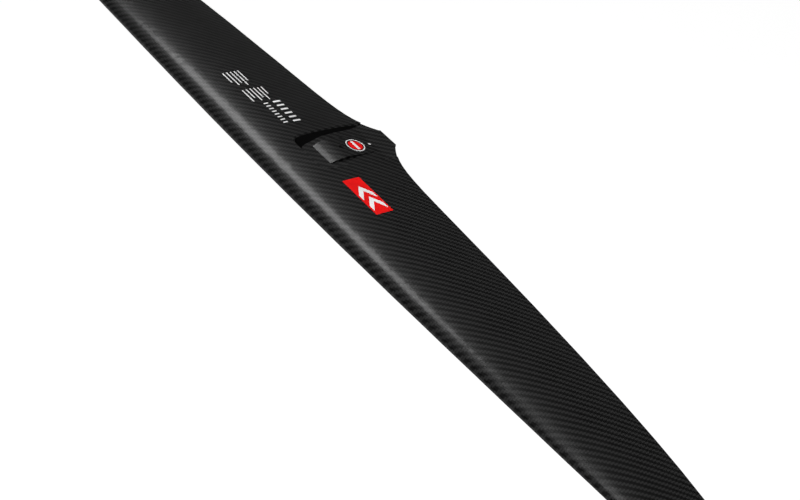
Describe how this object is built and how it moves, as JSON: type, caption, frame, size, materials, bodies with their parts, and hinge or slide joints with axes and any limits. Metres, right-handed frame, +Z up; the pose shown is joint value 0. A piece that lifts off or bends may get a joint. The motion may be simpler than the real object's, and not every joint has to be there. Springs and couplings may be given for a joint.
{
  "type": "hydrofoil front wing",
  "caption": "Long slender hydrofoil front wing in woven carbon, with an open saddle pocket and locating pad for a fuselage at its centre.",
  "frame": {"origin": "midway between the two screw holes, at the height of the top of the tongue", "axes": "+X along the span, +Y towards the trailing edge, +Z up out of the saddle along the screws"},
  "size_m": [1.4, 0.1669, 0.0352],
  "materials": {
    "carbon_skin": "woven carbon laminate under a clear gloss coat",
    "carbon_plate": "black carbon and glass laminate, satin",
    "pad_black": "black moulded laminate, satin",
    "liner_black": "matt black laminate",
    "foam": "closed-cell structural foam",
    "spar_carbon": "unidirectional carbon strip",
    "bush_steel": "turned stainless steel",
    "mark_red": "red vinyl film",
    "mark_white": "white print"
  },
  "bodies": {
    "root": {"upper_skin": "carbon_skin", "lower_skin": "carbon_skin", "base_plate": "carbon_plate", "saddle_pad": "pad_black", "saddle_block": "carbon_plate", "pocket_liner": "liner_black", "screw_bushes": "bush_steel", "nose_core": "foam", "rear_core_left": "foam", "rear_core_right": "foam", "spar_web": "spar_carbon", "spar_cap_upper": "spar_carbon", "spar_cap_lower": "spar_carbon", "trailing_wedge_left": "spar_carbon", "trailing_wedge_right": "spar_carbon", "badge_film": "mark_red", "badge_chevrons": "mark_white", "emblem_disc": "mark_red", "emblem_ring": "mark_white", "emblem_band": "mark_white", "heading_blocks": "mark_white", "note_bars": "mark_white"}
  },
  "joints": []
}
